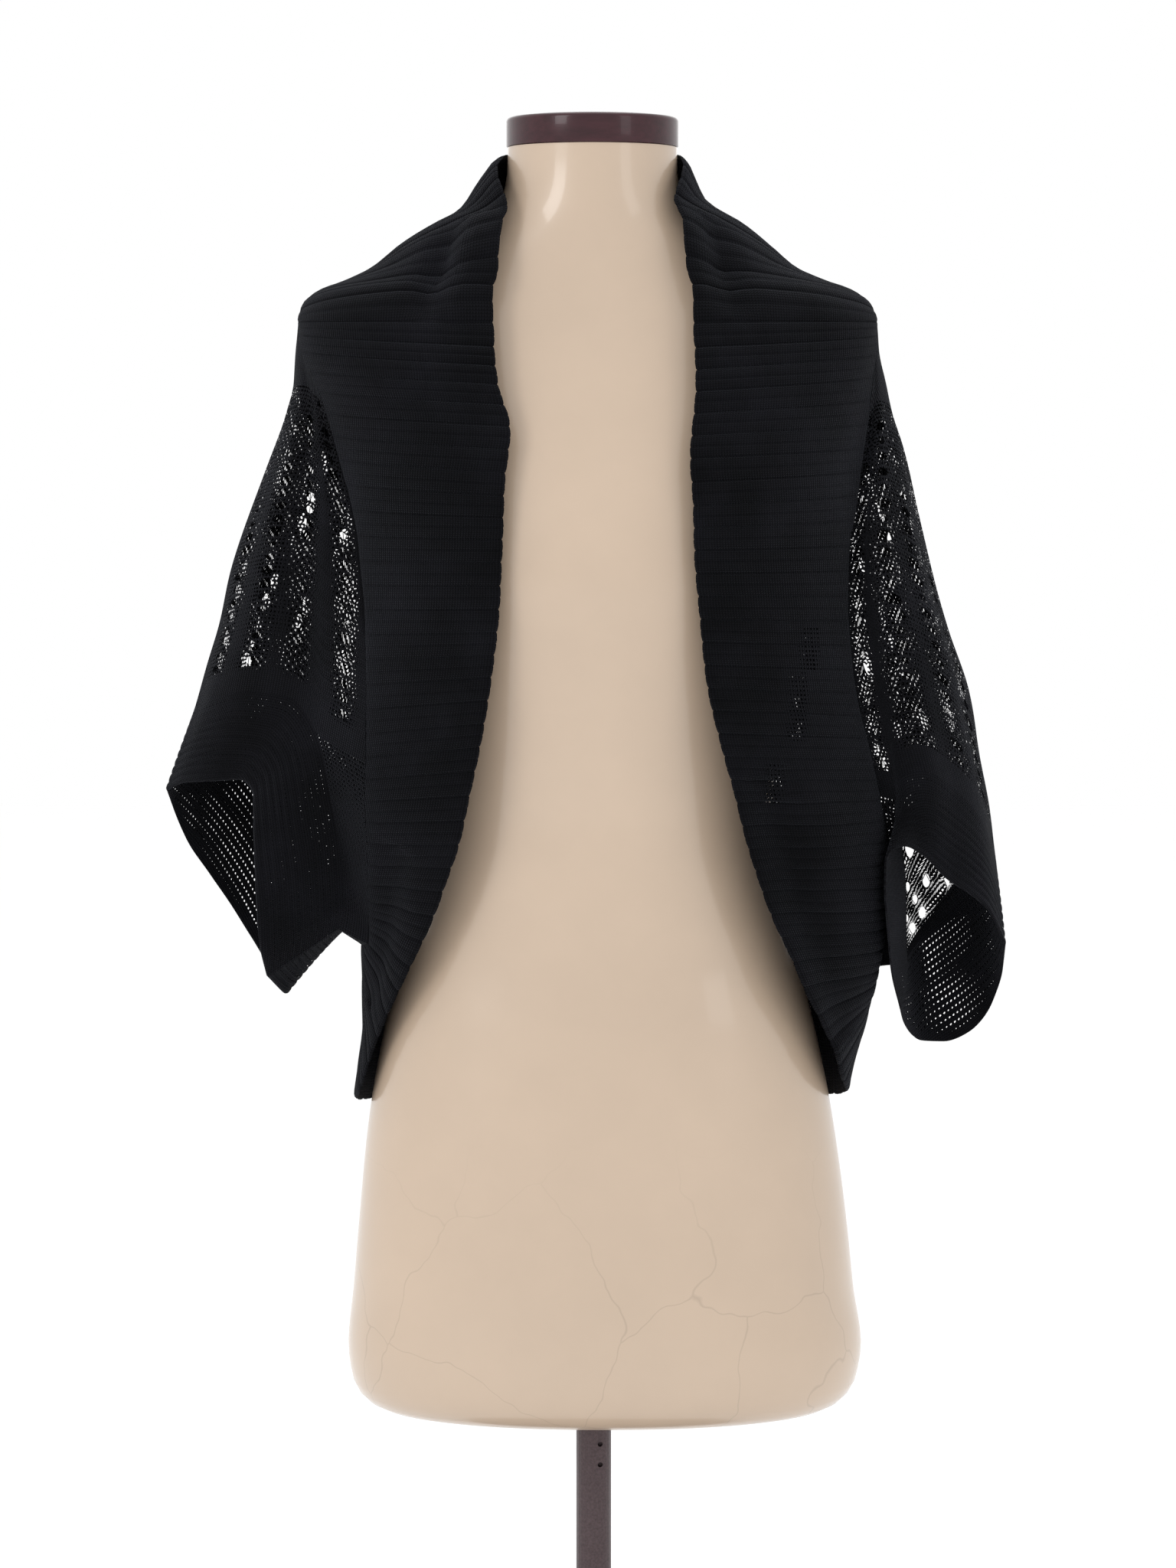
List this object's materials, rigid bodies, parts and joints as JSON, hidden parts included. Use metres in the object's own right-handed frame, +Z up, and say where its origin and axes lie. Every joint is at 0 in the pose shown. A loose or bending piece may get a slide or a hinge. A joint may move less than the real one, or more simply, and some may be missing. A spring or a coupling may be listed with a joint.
{
  "type": "cardigan on a limbless dress form with its stand",
  "caption": "Open-work cocoon cardigan with a wide ribbed collar, front and hem band and short dolman sleeves, worn on a limbless dress form on a pole stand.",
  "frame": {"origin": "on the floor under the pole's axis, at the middle of the base's underside", "axes": "+Z up, -Y towards the front of the garment, +X towards the viewer's right when facing the front"},
  "size_m": [0.5827, 0.344, 1.1943],
  "materials": {
    "black_rib_knit": "matte rib knit",
    "black_open_knit": "matte open-work knit",
    "glossy_beige_shell": "glossy lacquer",
    "dark_brown_gloss_cap": "gloss",
    "pale_pole_collar": "satin",
    "bronze_painted_tube": "satin bronze paint",
    "bronze_painted_base": "satin bronze paint"
  },
  "bodies": {
    "root": {"collar_band": "black_rib_knit", "front_band_left": "black_rib_knit", "front_band_right": "black_rib_knit", "hem_band": "black_rib_knit", "cuff_left": "black_rib_knit", "cuff_right": "black_rib_knit", "back_panel": "black_open_knit", "sleeve_front_left": "black_open_knit", "sleeve_front_right": "black_open_knit", "sleeve_back_left": "black_open_knit", "sleeve_back_right": "black_open_knit", "dress_form_torso": "glossy_beige_shell", "neck_cap": "dark_brown_gloss_cap", "pole_collar": "pale_pole_collar", "stand_pole": "bronze_painted_tube", "stand_base": "bronze_painted_base"}
  },
  "joints": []
}
